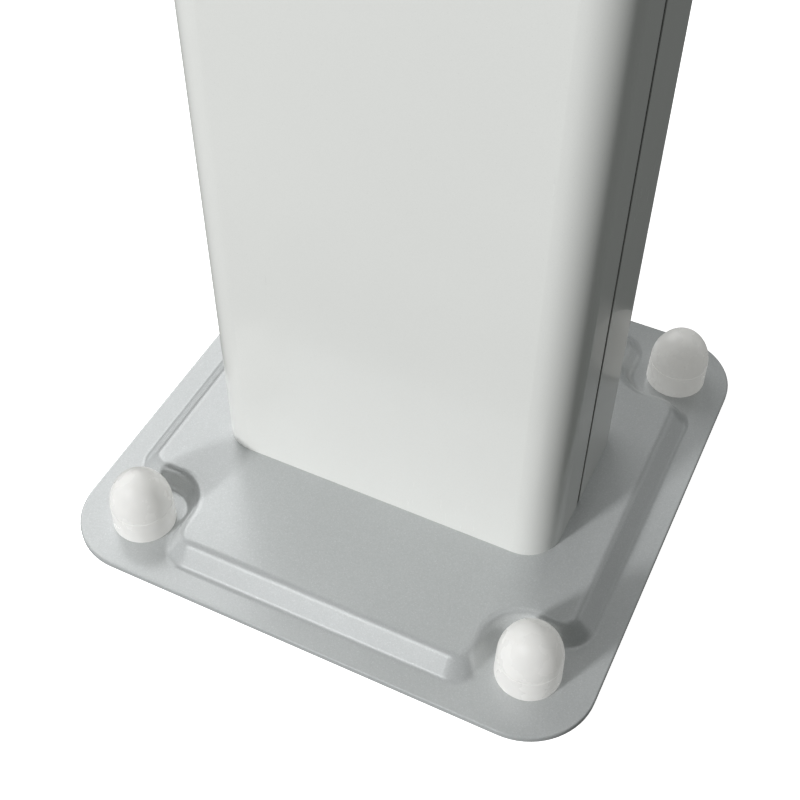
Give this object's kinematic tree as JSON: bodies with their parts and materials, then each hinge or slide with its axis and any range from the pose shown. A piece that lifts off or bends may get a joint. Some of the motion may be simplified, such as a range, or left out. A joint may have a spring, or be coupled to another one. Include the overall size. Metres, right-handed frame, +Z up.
{
  "type": "security gate",
  "caption": "Tall white box-section antenna pedestal for a shop exit, on a square pressed steel foot with domed caps over its floor anchors.",
  "frame": {"origin": "middle of the foot's underside, on the floor", "axes": "+Z up, +X to the right seen from the front, +Y from the front cover to the rear cover"},
  "size_m": [0.262, 0.262, 1.502],
  "materials": {
    "foot_paint": "silver-grey fine textured powder coat",
    "column_white": "white semi-gloss paint",
    "top_white": "white semi-gloss",
    "milky_plastic": "milky translucent",
    "black_rubber": "matte",
    "seal_rubber": "matte",
    "zinc_steel": "zinc plated",
    "fastener_zinc": "bright zinc",
    "former_plastic": "moulded",
    "copper_winding": "enamelled copper wire",
    "nylon": "natural nylon",
    "tray_aluminium": "bare folded sheet",
    "brass_standoff": "turned brass",
    "circuit_board": "green solder mask",
    "chip_black": "moulded",
    "capacitor_sleeve": "shrink sleeve",
    "connector_white": "moulded",
    "heatsink_black": "black anodised",
    "status_green": "tinted lamp",
    "trimmer_blue": "moulded",
    "knob_grey": "moulded",
    "reset_red": "moulded",
    "transformer_tape": "wound polyester tape",
    "terminal_grey": "moulded",
    "rocker_black": "moulded",
    "alarm_red": "tinted lamp",
    "lens_clear": "milky diffusing lens",
    "lead_grey": "flexible sheath",
    "lead_red": "flexible sheath"
  },
  "bodies": {
    "pedestal": {"base_plate": "foot_paint", "cable_grommet": "black_rubber", "mast": "zinc_steel", "mast_bolts": "fastener_zinc", "mast_nuts": "fastener_zinc", "lower_bracket": "zinc_steel", "middle_bracket": "zinc_steel", "upper_bracket": "zinc_steel", "bracket_screws": "fastener_zinc", "tray_screws": "fastener_zinc", "rear_cover": "column_white", "seam_seals": "seal_rubber", "rear_cover_screws": "fastener_zinc", "lower_antenna_former": "former_plastic", "upper_antenna_former": "former_plastic", "lower_antenna_coil": "copper_winding", "upper_antenna_coil": "copper_winding", "antenna_pillars": "nylon", "antenna_screws": "fastener_zinc", "controller_tray": "tray_aluminium", "board_standoffs": "brass_standoff", "controller_board": "circuit_board", "board_screws": "fastener_zinc", "board_chips": "chip_black", "board_capacitors": "capacitor_sleeve", "board_connectors": "connector_white", "heatsink": "heatsink_black", "status_lamps": "status_green", "trimmer_bodies": "trimmer_blue", "reset_switch": "chip_black", "transformer_pad": "black_rubber", "transformer": "transformer_tape", "transformer_washer": "zinc_steel", "transformer_bolt": "fastener_zinc", "terminal_block": "terminal_grey", "terminal_screws": "brass_standoff", "mains_bracket": "tray_aluminium", "power_switch": "chip_black", "fuse_holder": "chip_black", "top_plate": "zinc_steel", "lamp_board": "circuit_board", "alarm_lamps": "alarm_red", "alarm_buzzer": "chip_black", "lamp_lens": "lens_clear", "antenna_leads": "lead_grey", "lamp_lead": "lead_red", "supply_lead": "lead_grey", "lead_clips": "nylon"},
    "anchor_cap_front_left": {"anchor_cap_front_left": "milky_plastic"},
    "anchor_cap_front_right": {"anchor_cap_front_right": "milky_plastic"},
    "anchor_cap_rear_left": {"anchor_cap_rear_left": "milky_plastic"},
    "anchor_cap_rear_right": {"anchor_cap_rear_right": "milky_plastic"},
    "front_cover": {"front_cover": "column_white"},
    "top_cap": {"top_cap": "top_white"},
    "power_rocker": {"power_rocker": "rocker_black"},
    "sensitivity_knob": {"sensitivity_knob": "knob_grey"},
    "tuning_knob": {"tuning_knob": "knob_grey"},
    "volume_knob": {"volume_knob": "knob_grey"},
    "reset_button": {"reset_button": "reset_red"},
    "fuse_cap": {"fuse_cap": "rocker_black"}
  },
  "joints": [
    {"name": "anchor_cap_front_left_lift", "type": "slide", "parent": "pedestal", "child": "anchor_cap_front_left", "axis": [0, 0, 1], "range_m": [0, 0.06]},
    {"name": "anchor_cap_front_right_lift", "type": "slide", "parent": "pedestal", "child": "anchor_cap_front_right", "axis": [0, 0, 1], "range_m": [0, 0.06]},
    {"name": "anchor_cap_rear_left_lift", "type": "slide", "parent": "pedestal", "child": "anchor_cap_rear_left", "axis": [0, 0, 1], "range_m": [0, 0.06]},
    {"name": "anchor_cap_rear_right_lift", "type": "slide", "parent": "pedestal", "child": "anchor_cap_rear_right", "axis": [0, 0, 1], "range_m": [0, 0.06]},
    {"name": "front_cover_tilt", "type": "hinge", "parent": "pedestal", "child": "front_cover", "pos_m": [0, -0.0481, 0.0117], "axis": [1, 0, 0], "range_deg": [0, 30]},
    {"name": "top_cap_lift", "type": "slide", "parent": "pedestal", "child": "top_cap", "axis": [0, 0, 1], "range_m": [0, 0.08]},
    {"name": "power_rocker_tilt", "type": "hinge", "parent": "pedestal", "child": "power_rocker", "pos_m": [-0.002, -0.0344, 0.143], "axis": [1, 0, 0], "range_deg": [-20, 0]},
    {"name": "sensitivity_knob_turn", "type": "hinge", "parent": "pedestal", "child": "sensitivity_knob", "pos_m": [-0.045, -0.0286, 0.296], "axis": [0, -1, 0], "range_deg": [-135, 135]},
    {"name": "tuning_knob_turn", "type": "hinge", "parent": "pedestal", "child": "tuning_knob", "pos_m": [-0.02, -0.0286, 0.296], "axis": [0, -1, 0], "range_deg": [-135, 135]},
    {"name": "volume_knob_turn", "type": "hinge", "parent": "pedestal", "child": "volume_knob", "pos_m": [0.005, -0.0286, 0.296], "axis": [0, -1, 0], "range_deg": [-135, 135]},
    {"name": "reset_button_press", "type": "slide", "parent": "pedestal", "child": "reset_button", "axis": [0, 1, 0], "range_m": [0, 0.0015], "stiffness_N_per_m": 300},
    {"name": "fuse_cap_turn", "type": "hinge", "parent": "pedestal", "child": "fuse_cap", "pos_m": [0.022, -0.0364, 0.143], "axis": [0, -1, 0], "range_deg": [0, 90]}
  ]
}
